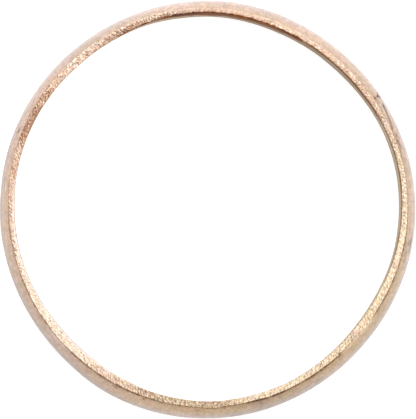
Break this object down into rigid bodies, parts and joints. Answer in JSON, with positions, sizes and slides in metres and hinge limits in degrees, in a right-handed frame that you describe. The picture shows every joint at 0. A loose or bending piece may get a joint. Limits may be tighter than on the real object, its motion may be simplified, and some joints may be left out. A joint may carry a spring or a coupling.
{
  "type": "finger ring",
  "caption": "Plain closed finger ring with a domed outer face, flat filed rims and a round bore, bent from a D-section strip and soldered at a slanting scarf joint.",
  "frame": {"origin": "centre of the finger bore, at half the band's width", "axes": "+Z along the bore axis, out of the rim that the picture shows; seen from +Z, +X is to the picture's right and +Y is up"},
  "size_m": [0.0214, 0.0215, 0.003],
  "materials": {
    "band_metal": "worn rose-gold gilding on copper alloy: satin dome, grainy filed rims, tarnished bore",
    "solder": "dull, slightly greyer hard solder, filed flush with the band"
  },
  "bodies": {
    "root": {"ring_band": "band_metal", "solder_seam": "solder"}
  },
  "joints": []
}
